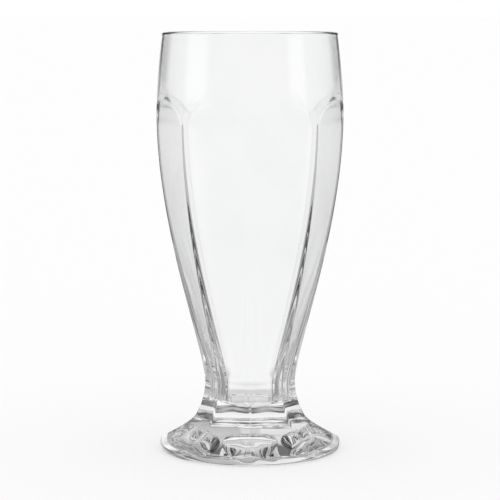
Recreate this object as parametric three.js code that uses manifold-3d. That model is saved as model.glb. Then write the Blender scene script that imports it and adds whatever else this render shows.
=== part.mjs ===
// A footed sundae glass of clear pressed glass: a tall panelled bowl, a short solid stem and a broad foot.
// Millimetres, +Z up, the origin on the table under the middle of the foot. One of the ridges faces -Y.
import * as THREE from "three";
import { mergeVertices } from "three/addons/utils/BufferGeometryUtils.js";
import Module from "manifold-3d";

const wasm = await Module();
wasm.setup();

// Heights, from the table up
const HEIGHT = 180;
const FOOT_HEIGHT = 14.8;
const STEM_HEIGHT = 3.6;
const FLOOR_THICKNESS = 1.7;
const WAIST_ABOVE_STEM = 11;
const BELLY_BELOW_LIP = 35;
const ARCH_BELOW_LIP = 27.8;
const ARCH_HEIGHT = 9.2;

// Radii at the ridges
const LIP_RADIUS = 37.5;
const BELLY_RADIUS = 40;
const WAIST_RADIUS = 19.5;
const SEAL_RADIUS = 23.4;
const FOOT_RADIUS = 39;

// Walls, measured at the ridges, and the round corner of the cavity's floor
const LIP_WALL = 1.2;
const BELLY_WALL = 1.4;
const WAIST_WALL = 8;
const FLOOR_ROUND = 1.5;

// Panels: how many, the radius of their gentle outward curve, and how much of each sharp ridge is eased off
const PANELS = 8;
const PANEL_CURVE = 200;
const RIDGE_EASE = 0.15;

// Foot: its rounded edge and how far that tucks in below, the ring it rests on, and the hollow under it
const EDGE_ROUND = 2.9;
const EDGE_TUCK = 1.4;
const EDGE_ARC = THREE.MathUtils.degToRad(38);
const REST_RING_WIDTH = 3.6;
const PUNT_DEPTH = 4;

// How finely curves are drawn
const ROUND_STEPS = 48;
const PANEL_STEPS = 120;

const at = (radius, height) => new THREE.Vector2(radius, height);

const stemTop = FOOT_HEIGHT + STEM_HEIGHT;
const floorHeight = stemTop + FLOOR_THICKNESS;
const waistHeight = stemTop + WAIST_ABOVE_STEM;
const bellyHeight = HEIGHT - BELLY_BELOW_LIP;
const archTop = HEIGHT - ARCH_BELOW_LIP;
const lipRound = LIP_WALL / 2;
const lipCentre = at(LIP_RADIUS - lipRound, HEIGHT - lipRound);
const halfPanel = Math.PI / PANELS;
const panelAxis = PANEL_CURVE - BELLY_RADIUS;

// Outlines of the body at the ridges, upwards: the stem, the tapered bowl and the round band under the lip
const seal = at(SEAL_RADIUS, FOOT_HEIGHT);
const waist = at(WAIST_RADIUS, waistHeight);
const belly = at(BELLY_RADIUS, bellyHeight);
const stemLine = new THREE.QuadraticBezierCurve(seal, at(WAIST_RADIUS, waistHeight - 7.5), waist);
const bowlLine = new THREE.CubicBezierCurve(
  waist,
  at(WAIST_RADIUS, waistHeight + 14),
  at(BELLY_RADIUS, bellyHeight - 50),
  belly,
);
const bandLine = new THREE.QuadraticBezierCurve(
  belly,
  at(BELLY_RADIUS, bellyHeight + 15),
  at(LIP_RADIUS, lipCentre.y),
);

// Outline of the foot, upwards: the rounded edge, then the flare
const edgeCentre = at(FOOT_RADIUS - EDGE_ROUND, EDGE_ROUND);
const edgeTop = at(edgeCentre.x + EDGE_ROUND * Math.cos(EDGE_ARC), EDGE_ROUND * (1 + Math.sin(EDGE_ARC)));
const flareEnd = at(edgeTop.x - 5, edgeTop.y + 3.1);
const flareLine = new THREE.CubicBezierCurve(
  edgeTop,
  flareEnd,
  at(SEAL_RADIUS + 2.8, FOOT_HEIGHT - 4.2),
  seal,
);

// Distance from the axis to the middle of a panel whose two ridges lie at the given radius
function panelMiddle(ridge) {
  const along = ridge * Math.cos(halfPanel) + panelAxis;
  const across = ridge * Math.sin(halfPanel);
  return Math.hypot(along, across) - panelAxis;
}

// The part of a curve between two heights, with a point on each of them
function between(curve, low, high, steps) {
  const shareAt = (height) => {
    let [from, to] = [0, 1];
    for (let i = 0; i < 40; i++) {
      const middle = (from + to) / 2;
      if (curve.getPoint(middle).y < height) from = middle;
      else to = middle;
    }
    return from;
  };
  const [first, last] = [shareAt(low), shareAt(high)];
  const points = [];
  for (let i = 0; i <= steps; i++) {
    points.push(curve.getPoint(first + ((last - first) * i) / steps));
  }
  points[0].y = low;
  points[steps].y = high;
  return points;
}

function arc(centre, radius, from, to, steps) {
  const points = [];
  for (let i = 0; i <= steps; i++) {
    const turn = from + ((to - from) * i) / steps;
    points.push(at(centre.x + radius * Math.cos(turn), centre.y + radius * Math.sin(turn)));
  }
  return points;
}

// Joins runs of points, without the point that two runs share.
function joined(...runs) {
  return runs.flat().filter((p, i, all) => i === 0 || p.distanceTo(all[i - 1]) > 1e-3);
}

// A solid of revolution about +Z
function turned(points, steps = ROUND_STEPS, start = 0) {
  const geometry = new THREE.LatheGeometry(points, steps, start).rotateX(Math.PI / 2);
  geometry.deleteAttribute("normal");
  geometry.deleteAttribute("uv");
  const merged = mergeVertices(geometry, 1e-4);
  return new wasm.Manifold(
    new wasm.Mesh({
      numProp: 3,
      vertProperties: merged.attributes.position.array,
      triVerts: new Uint32Array(merged.index.array),
    }),
  );
}

// Thickness of the bowl's wall at a height: even round the glass, and growing from the belly to the waist
function wallAt(height) {
  if (height > bellyHeight) {
    return LIP_WALL + ((BELLY_WALL - LIP_WALL) * (HEIGHT - height)) / BELLY_BELOW_LIP;
  }
  const down = Math.min((bellyHeight - height) / (bellyHeight - waistHeight), 1);
  return BELLY_WALL + (WAIST_WALL - BELLY_WALL) * down ** 2;
}

// How far a panel has sunk into the round band at a height, from 0 at the top of its arch to 1 at its foot
function sunk(height) {
  const below = (archTop - height) / ARCH_HEIGHT;
  return 1 - Math.max(1 - below, 0) ** 2;
}

// Radius of a panel at a point of the ridges, about the panel's own axis
function panelRadius(p) {
  const depth = sunk(p.y);
  const middle = panelMiddle(p.x + RIDGE_EASE);
  return p.x + (middle - p.x) * depth + panelAxis;
}

// The space inside eight panels that follow the given outline, each a part of a wide round surface
function panelledSpace(line) {
  const widest = Math.max(...line.map((p) => p.x));
  const outline = [at(0, -1), at(widest, -1), ...line, at(widest, HEIGHT + 1), at(0, HEIGHT + 1)];
  const one = turned(outline, PANEL_STEPS, Math.PI / PANEL_STEPS).translate([-panelAxis, 0, 0]);
  let space = one.rotate([0, 0, 180 / PANELS]);
  for (let i = 1; i < PANELS; i++) {
    space = space.intersect(one.rotate([0, 0, ((2 * i + 1) * 180) / PANELS]));
  }
  return space;
}

// Ridges of the bowl, from the waist up to where the panels have run out above their arched tops
const bowlRidges = joined(
  bowlLine.getPoints(16),
  between(bandLine, bellyHeight, archTop + ARCH_HEIGHT / 2, 8),
);

function outerSpace() {
  const runOut = edgeTop.clone().multiplyScalar(2).sub(flareEnd);
  const ridges = joined([runOut], flareLine.getPoints(6), stemLine.getPoints(6), bowlRidges);
  return panelledSpace(ridges.map((p) => at(panelRadius(p), p.y)));
}

function innerSpace() {
  const ridges = joined([at(WAIST_RADIUS, stemTop)], bowlRidges);
  return panelledSpace(ridges.map((p) => at(panelRadius(p) - wallAt(p.y) * Math.cos(halfPanel), p.y)));
}

// The cavity: its ridges from the lip down, a round corner and a flat floor
function cavity() {
  const sides = joined(bowlLine.getPoints(16), bandLine.getPoints(7)).reverse();
  const foot = WAIST_RADIUS - WAIST_WALL - FLOOR_ROUND;
  const outline = joined(
    [at(0, HEIGHT + 1), at(LIP_RADIUS - LIP_WALL, HEIGHT + 1)],
    [at(LIP_RADIUS - LIP_WALL, lipCentre.y)],
    sides.map((p) => at(p.x - wallAt(p.y), p.y)),
    arc(at(foot, floorHeight + FLOOR_ROUND), FLOOR_ROUND, 0, -Math.PI / 2, 4),
    [at(0, floorHeight)],
  );
  return turned(outline.reverse()).intersect(innerSpace());
}

function bowlBlank() {
  return turned(
    joined(
      [at(0, stemTop)],
      between(stemLine, stemTop, waistHeight, 4),
      bowlLine.getPoints(14),
      bandLine.getPoints(7),
      arc(lipCentre, lipRound, 0, Math.PI, 4),
      [at(0, lipCentre.y)],
    ),
  );
}

function stemBlank() {
  return turned([at(0, FOOT_HEIGHT), ...between(stemLine, FOOT_HEIGHT, stemTop, 3), at(0, stemTop)]);
}

function footBlank() {
  const ringOuter = FOOT_RADIUS - EDGE_TUCK;
  const ringInner = ringOuter - REST_RING_WIDTH;
  const puntRadius = (ringInner ** 2 + PUNT_DEPTH ** 2) / (2 * PUNT_DEPTH);
  const puntHalf = Math.asin(ringInner / puntRadius);
  const puntCentre = at(0, PUNT_DEPTH - puntRadius);
  const punt = arc(puntCentre, puntRadius, Math.PI / 2, Math.PI / 2 - puntHalf, 6);
  punt[0].x = 0;
  punt[6].y = 0;
  const corner = arc(at(0, 0), 1, -Math.PI / 2, 0, 5);
  const under = corner.map((p) => at(ringOuter + EDGE_TUCK * p.x, EDGE_ROUND * (1 + p.y)));
  return turned(
    joined(
      punt,
      under,
      arc(edgeCentre, EDGE_ROUND, 0, EDGE_ARC, 3),
      flareLine.getPoints(6),
      [at(0, FOOT_HEIGHT)],
    ),
  );
}

function glassMesh(name, solid) {
  const { numProp, numVert, vertProperties, triVerts } = solid.getMesh();
  const position = new Float32Array(numVert * 3);
  for (let i = 0; i < numVert; i++) {
    position.set(vertProperties.subarray(i * numProp, i * numProp + 3), i * 3);
  }
  const geometry = new THREE.BufferGeometry();
  geometry.setAttribute("position", new THREE.BufferAttribute(position, 3));
  geometry.setIndex(new THREE.BufferAttribute(triVerts, 1));
  const clear = new THREE.MeshStandardMaterial({ color: 0xe6eeee, roughness: 0.03, metalness: 0 });
  const mesh = new THREE.Mesh(geometry, clear);
  mesh.name = name;
  return mesh;
}

const space = outerSpace();
const glass = new THREE.Group();
glass.name = "sundae_glass";
glass.add(glassMesh("bowl", bowlBlank().intersect(space).subtract(cavity())));
glass.add(glassMesh("stem", stemBlank().intersect(space)));
glass.add(glassMesh("foot", footBlank().intersect(space)));

export default glass;
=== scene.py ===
import math

import bpy
import numpy as np
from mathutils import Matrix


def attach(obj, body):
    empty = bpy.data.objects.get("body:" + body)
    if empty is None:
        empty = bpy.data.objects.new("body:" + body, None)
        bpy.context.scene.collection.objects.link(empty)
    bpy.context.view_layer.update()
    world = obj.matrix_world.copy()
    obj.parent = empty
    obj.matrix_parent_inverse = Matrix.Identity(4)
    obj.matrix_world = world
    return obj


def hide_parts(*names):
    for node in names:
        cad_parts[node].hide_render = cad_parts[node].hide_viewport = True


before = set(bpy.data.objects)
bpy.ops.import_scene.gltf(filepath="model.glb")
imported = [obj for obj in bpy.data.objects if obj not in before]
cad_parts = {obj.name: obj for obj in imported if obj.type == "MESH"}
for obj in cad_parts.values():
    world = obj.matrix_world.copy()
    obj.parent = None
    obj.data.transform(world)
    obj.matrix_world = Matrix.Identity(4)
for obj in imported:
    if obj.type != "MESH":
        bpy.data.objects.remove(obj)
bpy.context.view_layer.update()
mm = 0.001  # the sizes of the glass are in millimetres, as in the solids

foot = {
    "height": 14.8,
    "radius": 39.0,
    "sealRadius": 23.4,  # where the stem stands on it
    "edgeRound": 2.9,
    "edgeTuck": 1.4,  # how far the rounded edge goes in below
    "edgeArc": math.radians(38),  # how far it goes round above
    "edgePull": (-5, 3.1),  # handles of the flare's curve, from the edge and from the stem
    "sealPull": (2.8, -4.2),
    "restRing": 3.6,  # width of the flat ring that it stands on
    "restInset": 0.2,
    "puntDepth": 4.0,  # the hollow under it
    "puntSteps": 40,
    "tuckSteps": 40,
    "edgeSteps": 24,
    "flareSteps": 80,
}

stem = {
    "top": 18.4,
    "pull": 7.5,  # handle of its curve, below the waist
    "steps": 80,
    "rows": 14,
}

bowl = {
    "height": 180.0,
    "waist": (19.5, 29.4),  # radius and height
    "belly": (40.0, 145.0),
    "lipRadius": 37.5,
    "waistPull": 14,  # handles of the outline's curves, along the height
    "bellyPull": 50,
    "bandPull": 15,
    "lipWall": 1.2,
    "bellyWall": 1.4,
    "waistWall": 8.0,
    "floorHeight": 20.1,
    "floorRound": 1.5,
    "softenWalls": (2, 8),  # a thin and a thick wall, and how far the cavity's ridges are rounded there
    "soften": (0.4, 0.8),
    "taperSteps": 400,
    "bandSteps": 120,
    "waistRows": 26,  # rows of points below the waist
    "upperRows": (30, 64, 110, 22),  # above it: up to thickTop, to the arches, past them and to the lip
    "thickTop": 60,
    "archMargin": (3, 1),  # how far the closest rows go on below and above the arches
    "lipSteps": 12,
    "cornerSteps": 12,
    "downSteps": 8,
    "floorSteps": 6,
}


def bezier(points, steps):
    t = np.linspace(0, 1, steps + 1)[:, None]
    p = [np.array(q, float) for q in points]
    while len(p) > 1:
        p = [a + (b - a) * t for a, b in zip(p[:-1], p[1:])]
    return p[0]


def arc(centre, radius, first, last, steps):
    turn = np.linspace(first, last, steps + 1)
    return np.stack([centre[0] + radius * np.cos(turn), centre[1] + radius * np.sin(turn)], 1)


# outlines of the ridges, upwards, as rows of radius and height
seal = (foot["sealRadius"], foot["height"])
waist, belly = bowl["waist"], bowl["belly"]
lipRound = bowl["lipWall"] / 2
lipCentre = (bowl["lipRadius"] - lipRound, bowl["height"] - lipRound)
edgeCentre = (foot["radius"] - foot["edgeRound"], foot["edgeRound"])
edgeLine = arc(edgeCentre, foot["edgeRound"], 0, foot["edgeArc"], foot["edgeSteps"])
edgeTop = edgeLine[-1]
flareStart = edgeTop + foot["edgePull"]
flareLine = bezier([edgeTop, flareStart, np.add(seal, foot["sealPull"]), seal], foot["flareSteps"])
stemLine = bezier([seal, (waist[0], waist[1] - stem["pull"]), waist], stem["steps"])
aboveWaist = (waist[0], waist[1] + bowl["waistPull"])
belowBelly = (belly[0], belly[1] - bowl["bellyPull"])
taperLine = bezier([waist, aboveWaist, belowBelly, belly], bowl["taperSteps"])
aboveBelly = (belly[0], belly[1] + bowl["bandPull"])
bandLine = bezier([belly, aboveBelly, (bowl["lipRadius"], lipCentre[1])], bowl["bandSteps"])
runOut = edgeTop * 2 - flareStart  # the panels go on past the foot's edge
ridgeLine = np.concatenate([[runOut], flareLine, stemLine[1:], taperLine[1:], bandLine[1:]])

panel = {
    "count": 8,
    "curve": 200.0,  # radius of a panel's gentle outward curve
    "ease": 0.15,
    "archTop": 152.2,
    "archHeight": 9.2,
    "innerTop": 158.0,  # the arches are softer on the cavity side
    "innerHeight": 18.0,
    "soften": 0.12,  # how far a ridge or an arch is rounded
    "columns": 24,  # steps across one panel
    "crowding": 0.72,  # how much closer together they are at its ridges, from 0 to 1
}
panelAxis = panel["curve"] - belly[0]
halfPanel = math.pi / panel["count"]

# angles round the glass
share = np.arange(panel["columns"]) / panel["columns"]
across = (share - np.sin(2 * math.pi * share) / (2 * math.pi) * panel["crowding"]) * 2 * halfPanel
theta = np.concatenate([across + k * 2 * halfPanel for k in range(panel["count"])])
fromMiddle = np.tile(across - halfPanel, panel["count"])


def panelMiddle(ridge):
    # distance from the axis to the middle of a panel between two ridges
    return np.hypot(ridge * math.cos(halfPanel) + panelAxis, ridge * math.sin(halfPanel)) - panelAxis


def softMin(a, b, width):
    near = np.maximum(width - np.abs(a - b), 0) / width
    return np.minimum(a, b) - near * near * width / 4


def ringRows(radius, height):
    # points round the glass, one row for each height
    return np.stack(np.broadcast_arrays(radius * np.cos(theta), radius * np.sin(theta), height), 2)


def plain(outline):
    return ringRows(outline[:, 0:1], outline[:, 1:2])


def panelled(outline, wall=0, soften=panel["soften"]):
    # a round outline, cut by the panels
    # a wall above 0 means the cavity, whose sides are upright below the waist
    radius, height = outline[:, 0:1], outline[:, 1:2]
    wall = np.zeros_like(height) + wall
    inside = wall > 0
    ridgeHeight = np.where(inside, np.maximum(height, waist[1]), height)
    ridge = np.interp(ridgeHeight, ridgeLine[:, 1], ridgeLine[:, 0])
    below = (panel["archTop"] - height) / panel["archHeight"]
    fade = np.clip((panel["innerTop"] - height) / panel["innerHeight"], 0, 1)
    depth = np.where(inside, fade * fade * (3 - 2 * fade), 1 - np.maximum(1 - below, 0) ** 2)
    sunk = (panelMiddle(ridge + panel["ease"]) - ridge) * depth
    middle = ridge + sunk - wall * math.cos(halfPanel)
    swing = panelAxis * np.sin(fromMiddle)
    cut = np.sqrt((middle + panelAxis) ** 2 - swing ** 2) - panelAxis * np.cos(fromMiddle)
    return ringRows(softMin(radius, cut, soften), height)


def wallAt(height):
    # even round the glass, and growing from the belly down to the waist
    bandMore = bowl["bellyWall"] - bowl["lipWall"]
    taperMore = bowl["waistWall"] - bowl["bellyWall"]
    band = bowl["lipWall"] + bandMore * (bowl["height"] - height) / (bowl["height"] - belly[1])
    down = np.clip((belly[1] - height) / (belly[1] - waist[1]), 0, 1)
    return np.where(height > belly[1], band, bowl["bellyWall"] + taperMore * down ** 2)


def rowsAt(outline, heights):
    return np.stack([np.interp(heights, outline[:, 1], outline[:, 0]), heights], 1)


def turnedPiece(name, rows, start, end, seals):
    # rows of points joined into one closed skin, from one height on the axis to another
    # seals says whether its first and last fans are sealing faces
    count, columns = rows.shape[:2]
    points = np.concatenate([[(0, 0, start)], rows.reshape(-1, 3), [(0, 0, end)]]) * mm
    index = 1 + np.arange(count * columns).reshape(count, columns)
    after = np.roll(index, -1, 1)
    last = len(points) - 1
    quads = np.stack([index[:-1], after[:-1], after[1:], index[1:]], 2).reshape(-1, 4)
    faces = [(0, int(b), int(a)) for a, b in zip(index[0], after[0])]
    faces += quads.tolist()
    faces += [(int(a), int(b), last) for a, b in zip(index[-1], after[-1])]
    mesh = bpy.data.meshes.new(name)
    mesh.from_pydata(points.tolist(), [], faces)
    mesh.polygons.foreach_set("use_smooth", [True] * len(faces))
    slots = np.zeros(len(faces), int)
    slots[:columns] = seals[0]
    slots[-columns:] = seals[1]
    mesh.polygons.foreach_set("material_index", slots)
    # a sealing face keeps a crisp edge, so that the wall beside it is shaded as one surface
    rims = [set(index[row].tolist()) for row, sealed in zip((0, -1), seals) if sealed]
    sharp = mesh.attributes.new("sharp_edge", "BOOLEAN", "EDGE")
    sharp.data.foreach_set("value", [any(a in r and b in r for r in rims) for a, b in mesh.edge_keys])
    mesh.update()
    piece = bpy.data.objects.new(name, mesh)
    bpy.context.scene.collection.objects.link(piece)
    return piece


def makeBowl():
    low = rowsAt(stemLine, np.linspace(stem["top"], waist[1], bowl["waistRows"]))
    archFoot = panel["archTop"] - panel["archHeight"] - bowl["archMargin"][0]
    archEnd = panel["archTop"] + bowl["archMargin"][1]
    stops = (waist[1], bowl["thickTop"], archFoot, archEnd, lipCentre[1])
    runs = zip(stops[:-1], stops[1:], bowl["upperRows"])
    heights = np.concatenate([np.linspace(first, last, rows)[1:] for first, last, rows in runs])
    upper = rowsAt(np.concatenate([taperLine, bandLine[1:]]), heights)
    lip = arc(lipCentre, lipRound, 0, math.pi, bowl["lipSteps"])[1:-1]
    # the cavity: its sides from the lip down, an upright part, a round corner and a flat floor
    sides = np.concatenate([low[-1:], upper])[::-1]
    wall = wallAt(sides[:, 1])
    sides = np.stack([sides[:, 0] - wall, sides[:, 1]], 1)
    flat = (waist[0] - bowl["waistWall"] - bowl["floorRound"], bowl["floorHeight"])
    cornerCentre = (flat[0], flat[1] + bowl["floorRound"])
    corner = arc(cornerCentre, bowl["floorRound"], 0, -math.pi / 2, bowl["cornerSteps"])
    down = np.linspace(sides[-1], corner[0], bowl["downSteps"] + 1)[1:]
    floor = np.linspace(flat, (0, flat[1]), bowl["floorSteps"] + 1)[1:-1]
    cavity = np.concatenate([sides, down, corner[1:], floor])
    wall = np.pad(wall, (0, len(cavity) - len(wall)), constant_values=bowl["waistWall"])[:, None]
    soften = np.interp(wall, bowl["softenWalls"], bowl["soften"])
    outside = panelled(np.concatenate([low, upper]))
    rows = np.concatenate([outside, plain(lip), panelled(cavity, wall, soften)])
    return turnedPiece("bowl_glass", rows, stem["top"], bowl["floorHeight"], (True, False))


def makeStem():
    outline = rowsAt(stemLine, np.linspace(foot["height"], stem["top"], stem["rows"]))
    return turnedPiece("stem_glass", panelled(outline), foot["height"], stem["top"], (True, True))


def makeFoot():
    ringOuter = foot["radius"] - foot["edgeTuck"]
    ringInner = ringOuter - foot["restRing"]
    puntRadius = (ringInner ** 2 + foot["puntDepth"] ** 2) / (2 * foot["puntDepth"])
    puntEnd = math.pi / 2 - math.asin(ringInner / puntRadius)
    puntCentre = (0, foot["puntDepth"] - puntRadius)
    punt = arc(puntCentre, puntRadius, math.pi / 2, puntEnd, foot["puntSteps"])[1:]
    ring = np.array([(ringInner + foot["restInset"], 0), (ringOuter - foot["restInset"], 0)])
    tuck = arc((0, 0), 1, -math.pi / 2, 0, foot["tuckSteps"]) * (foot["edgeTuck"], foot["edgeRound"])
    tuck = tuck + (ringOuter, foot["edgeRound"])
    outside = panelled(np.concatenate([tuck, edgeLine[1:], flareLine[1:]]))
    rows = np.concatenate([plain(punt), plain(ring), outside])
    return turnedPiece("foot_glass", rows, foot["puntDepth"], foot["height"], (False, True))


class Wire:
    # a node socket that takes part in Python maths
    def __init__(self, tree, socket=None):
        self.tree, self.socket = tree, socket

    def feed(self, target, value):
        if isinstance(value, Wire):
            self.tree.links.new(value.socket, target)
        else:
            target.default_value = value

    def add(self, kind, settings=None, out=0, **values):
        # a socket is given by its name, or as i0, i1 and so on by its number
        made = self.tree.nodes.new(kind)
        for name, value in (settings or {}).items():
            setattr(made, name, value)
        for name, value in values.items():
            byNumber = name[0] == "i" and name[1:].isdigit()
            key = int(name[1:]) if byNumber else name.replace("_", " ")
            self.feed(made.inputs[key], value)
        return Wire(self.tree, made.outputs[out]) if made.outputs else made

    def other(self, name):
        return Wire(self.tree, self.socket.node.outputs[name])

    def maths(self, operation, a, b):
        return self.add("ShaderNodeMath", {"operation": operation}, i0=a, i1=b)

    def __add__(self, b):
        return self.maths("ADD", self, b)

    def __radd__(self, a):
        return self.maths("ADD", a, self)

    def __sub__(self, b):
        return self.maths("SUBTRACT", self, b)

    def __rsub__(self, a):
        return self.maths("SUBTRACT", a, self)

    def __mul__(self, b):
        return self.maths("MULTIPLY", self, b)

    def __rmul__(self, a):
        return self.maths("MULTIPLY", a, self)

    def __truediv__(self, b):
        return self.maths("DIVIDE", self, b)

    def __rtruediv__(self, a):
        return self.maths("DIVIDE", a, self)

    def __gt__(self, b):
        return self.maths("GREATER_THAN", self, b)

    def smooth(self, low, high, first=0.0, last=1.0):
        ends = {"From_Min": low, "From_Max": high, "To_Min": first, "To_Max": last}
        return self.add("ShaderNodeMapRange", {"interpolation_type": "SMOOTHSTEP"}, Value=self, **ends)

    def band(self, rise, full, fade, end):
        return self.smooth(rise, full) * self.smooth(fade, end, 1, 0)

    def part(self, axis):
        return self.add("ShaderNodeSeparateXYZ", out=axis, i0=self)

    def patches(self, scale, detail, low, high, first=0.0, last=1.0):
        # soft patches over a place: noise below low gives first, and noise above high gives last
        noise = self.add("ShaderNodeTexNoise", Vector=self, Scale=scale, Detail=detail)
        return noise.smooth(low, high, first, last)


def blend(first, second, amount):
    return first * (1 - amount) + second * amount


def newMaterial(name):
    material = bpy.data.materials.new(name)
    material.use_nodes = True
    material.node_tree.nodes.clear()
    return material, Wire(material.node_tree)


glass = {
    "clear": (0.994, 0.997, 0.996, 1),
    "cord": (0.98, 0.987, 0.984, 1),  # faint streaks in the melt
    "cordPatches": (38.0, 2.0, 0.45, 0.65),  # scale, detail, low and high
    "ior": 1.52,
    "bowl": (0.00003, 45),  # how far the pressed surface waves, m, and how fine the waves are
    "stem": (0.00012, 160),
    "foot": (0.0007, 60),
    "worn": 0.22,  # roughness of the ring that the foot rests on, and the heights, m, over which it ends
    "wornTop": (0.00005, 0.0004),
}


def clearGlass(node):
    material, w = newMaterial(node + "_glass")
    place = w.add("ShaderNodeTexCoord", out="Object")
    ripple, scale = glass[node]
    wave = w.add("ShaderNodeTexNoise", Vector=place, Scale=scale, Detail=1.0)
    cord = place.patches(*glass["cordPatches"])
    # the colour sockets of a Mix node share their names with others
    tint = w.add("ShaderNodeMix", {"data_type": "RGBA"}, out=2, i0=cord, i6=glass["clear"], i7=glass["cord"])
    worn = place.part("Z").smooth(*glass["wornTop"], glass["worn"], 0)
    bump = w.add("ShaderNodeBump", Strength=1.0, Distance=ripple, Height=wave)
    shader = w.add("ShaderNodeBsdfPrincipled", Base_Color=tint, Roughness=worn, IOR=glass["ior"],
                   Transmission_Weight=1.0, Normal=bump)
    w.add("ShaderNodeOutputMaterial", Surface=shader)
    return material


def sealFace():
    # the faces where two pieces are fused can't be seen
    material, w = newMaterial("seal_face")
    w.add("ShaderNodeOutputMaterial", Surface=w.add("ShaderNodeBsdfTransparent", Color=(1, 1, 1, 1)))
    return material


sealMaterial = sealFace()
for make, node in ((makeBowl, "bowl"), (makeStem, "stem"), (makeFoot, "foot")):
    piece = make()
    piece.data.materials.append(clearGlass(node))
    piece.data.materials.append(sealMaterial)
    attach(piece, "root")
    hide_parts(node)
    print(node, "made:", len(piece.data.polygons), "faces")

# what the glass mirrors; directions round it are cosines of the angle off straight behind
studio = {
    "room": 0.52,  # brightness all round
    "white": (0.951, 0.976),  # where the white backdrop begins and is full
    "fading": (5.5, 12.5),  # numbers of mirrorings inside the glass over which light fades
    "faded": 0.2,  # the share that is left then
}


def roomLevel(w, along, cards, cardLevel, backShare, cardShare):
    # brightness of the room, the backdrop and the dark cards beside it, and the level direction
    flat = w.add("ShaderNodeVectorMath", {"operation": "MULTIPLY"}, i0=along, i1=(1, 1, 0))
    flat = w.add("ShaderNodeVectorMath", {"operation": "NORMALIZE"}, i0=flat)
    toBack = flat.part("Y")
    back = toBack.smooth(*studio["white"]) * backShare
    card = toBack.smooth(*cards) * (1 - back) * cardShare
    return studio["room"] * (1 - back) * (1 - card) + cardLevel * card + back, flat


def mirroredPart(path, level):
    # the level for rays that the glass mirrors, and whether a ray is one of them
    times = path.other("Glossy Depth")
    mirrored = times > 0
    return level * times.smooth(*studio["fading"], 1, studio["faded"]) * mirrored, mirrored


def hasPassed(path):
    # whether a ray has passed through the glass
    return path.other("Transmission Depth") > 0


# distances from the middle of the glass are in metres
ground = {
    "side": 80.0,
    "colour": (0.975, 0.975, 0.975, 1),
    "paper": 0.5,  # share of pure white in the floor that the camera sees
    "backFrom": (0.6, 1.2),  # where the floor turns into the backdrop
    "cards": (0.80, 0.87),  # where the painted dark cards begin and are full on it: painted shade on the floor, seen only where the glass mirrors it
    "cardLevel": 0.35,
    "near": 0.45,  # the floor in front of the glass, with painted shade: darker where the glass mirrors it
    "nearBand": (0.045, 0.075, 0.2, 0.35),  # where it begins, is full, fades and ends
    "frontEnd": (-0.7, -0.3),
    "streaks": (9.0, 1.0, 0.42, 0.58, 0.3, 0.85),  # light that the glass throws beside and behind it
    "spots": (60.0, 1.0, 0.38, 0.58, 0.08, 1.0),  # light that has passed through the foot, under it
    "spotsEnd": (0.036, 0.045),
    "spotsThrough": 0.25,  # how much of those spots shows straight through the foot
    "shade": 0.68,  # the floor beside the glass, seen through it
    "shadeBand": (0.04, 0.055, 0.07, 0.1),
}


def makeFloor():
    half = ground["side"] / 2
    corners = [(-half, -half, 0), (half, -half, 0), (half, half, 0), (-half, half, 0)]
    mesh = bpy.data.meshes.new("floor")
    mesh.from_pydata(corners, [], [(0, 1, 2, 3)])
    floor = bpy.data.objects.new("floor", mesh)
    bpy.context.scene.collection.objects.link(floor)
    material, w = newMaterial("pale_floor")
    path = w.add("ShaderNodeLightPath")
    place = w.add("ShaderNodeTexCoord", out="Object")
    away = w.add("ShaderNodeVectorMath", {"operation": "LENGTH"}, out="Value", i0=place)
    backShare = away.smooth(*ground["backFrom"])
    # painted shade: as the glass mirrors it, the floor is a grey room level with painted dark cards, and it
    # turns white far off
    level, flat = roomLevel(w, place, ground["cards"], ground["cardLevel"], backShare, 1.0)
    # painted shade in front of the glass and painted streaks of light beside and behind it, seen only where
    # the glass mirrors the floor
    beside = flat.part("Y").smooth(*ground["frontEnd"])
    close = blend(ground["near"], flat.patches(*ground["streaks"]), beside)
    level = blend(level, close, away.band(*ground["nearBand"]))
    # painted caustic light and shadow under the foot
    spots = place.patches(*ground["spots"])
    under = away.smooth(*ground["spotsEnd"], 1, 0)
    level, mirrored = mirroredPart(path, blend(level, spots, under))
    # a painted shadow ring beside the glass, and the painted spots, for rays that passed through it
    shade = away.band(*ground["shadeBand"]) * (1 - ground["shade"])
    through = 1 - (1 - spots) * under * ground["spotsThrough"] - shade
    # for rays off or through the glass, the floor glows with all this painted light and shade instead of
    # being lit, dimmed after many mirrorings
    seen = w.add("ShaderNodeEmission", Color=level + through * (1 - mirrored), Strength=1.0)
    # the camera sees the floor itself, with the shadow
    matt = w.add("ShaderNodeBsdfDiffuse", Color=ground["colour"])
    white = w.add("ShaderNodeEmission", Color=(1, 1, 1, 1), Strength=1.0)
    direct = path.other("Is Camera Ray") * ground["paper"]
    paper = w.add("ShaderNodeMixShader", i0=direct, i1=matt, i2=white)
    viaGlass = w.maths("MAXIMUM", mirrored, hasPassed(path))
    surface = w.add("ShaderNodeMixShader", i0=viaGlass, i1=paper, i2=seen)
    w.add("ShaderNodeOutputMaterial", Surface=surface)
    mesh.materials.append(material)


# heights are sines of the angle above the floor
backdrop = {
    "white": 1.0,
    "top": (0.3, 0.15),
    "cards": (0.55, 0.7),  # dark cards beside it: where they begin and are full
    "cardLevel": 0.1,
    "cardTop": (0.35, 0.2),
    # the two soft boxes beside the camera: their turn off straight ahead, edge and full part
    "boxes": ((math.radians(-71), 0.93, 0.99), (math.radians(61), 0.965, 0.995)),
    "boxLevel": 1.25,
    "boxTop": (0.35, 0.15),
    "ceiling": (-1.2, 1.2, 0.9, 0.42),  # from left to right: two slopes, and the brightness there
    "ceilingBehind": (0.25, 0.45),  # where it begins and is full, behind the glass and in front of it
    "ceilingFront": (0.55, 0.85),
    "ceilingTurn": (-0.2, 0.2),
    "roof": 0.38,  # what is seen through the glass far above the backdrop
    "roofFrom": (0.26, 0.38),
}


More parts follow.
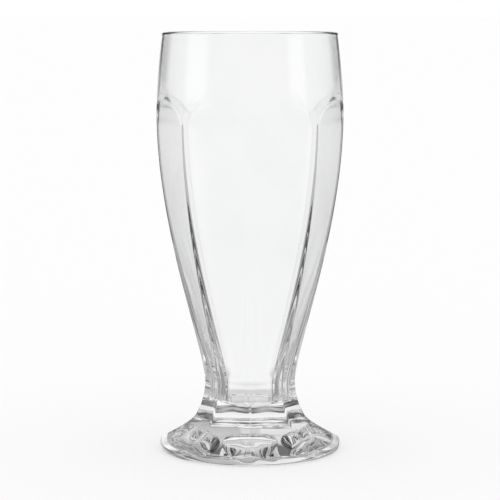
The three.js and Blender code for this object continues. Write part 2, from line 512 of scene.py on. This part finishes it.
def makeWorld():
    world = bpy.data.worlds.new("studio")
    bpy.context.scene.world = world
    world.use_nodes = True
    world.node_tree.nodes.clear()
    w = Wire(world.node_tree)
    path = w.add("ShaderNodeLightPath")
    along = w.add("ShaderNodeTexCoord", out="Generated")
    up = along.part("Z")
    backShare, cardShare = up.smooth(*backdrop["top"]), up.smooth(*backdrop["cardTop"])
    level, flat = roomLevel(w, along, backdrop["cards"], backdrop["cardLevel"], backShare, cardShare)
    for turn, edge, full in backdrop["boxes"]:
        aim = (math.sin(turn), -math.cos(turn), 0)
        toBox = w.add("ShaderNodeVectorMath", {"operation": "DOT_PRODUCT"}, out="Value", i0=flat, i1=aim)
        box = toBox.smooth(edge, full) * up.smooth(*backdrop["boxTop"])
        level = blend(level, backdrop["boxLevel"], box)
    behind = flat.part("Y").smooth(*backdrop["ceilingTurn"])
    high = blend(up.smooth(*backdrop["ceilingFront"]), up.smooth(*backdrop["ceilingBehind"]), behind)
    ceiling = (along.part("X") / up).smooth(*backdrop["ceiling"])
    level, mirrored = mirroredPart(path, blend(level, ceiling, high))
    aboveIt = hasPassed(path) * up.smooth(*backdrop["roofFrom"])
    clear = blend(backdrop["white"], backdrop["roof"], aboveIt)
    seen = w.add("ShaderNodeBackground", Color=clear * (1 - mirrored) + level, Strength=1.0)
    w.add("ShaderNodeOutputWorld", Surface=seen)


# the photograph's view, in metres: nearly level with the lip, looking a little down at the foot
view = {
    "distance": 0.859,
    "height": 0.1905,
    "pitch": math.radians(6.9),
    "lens": 144.4,
    "sensor": 36,
}


def makeCamera():
    data = bpy.data.cameras.new("camera")
    data.lens = view["lens"]
    data.sensor_width = view["sensor"]
    camera = bpy.data.objects.new("camera", data)
    camera.location = (0, -view["distance"], view["height"])
    camera.rotation_euler = (math.pi / 2 - view["pitch"], 0, 0)
    bpy.context.scene.collection.objects.link(camera)
    bpy.context.scene.camera = camera


makeFloor()
makeWorld()
makeCamera()
scene = bpy.context.scene
scene.view_settings.view_transform = "Standard"
scene.cycles.max_bounces = 32  # light turns many times inside the foot
scene.cycles.glossy_bounces = 24
scene.cycles.transmission_bounces = 32
print("studio made")
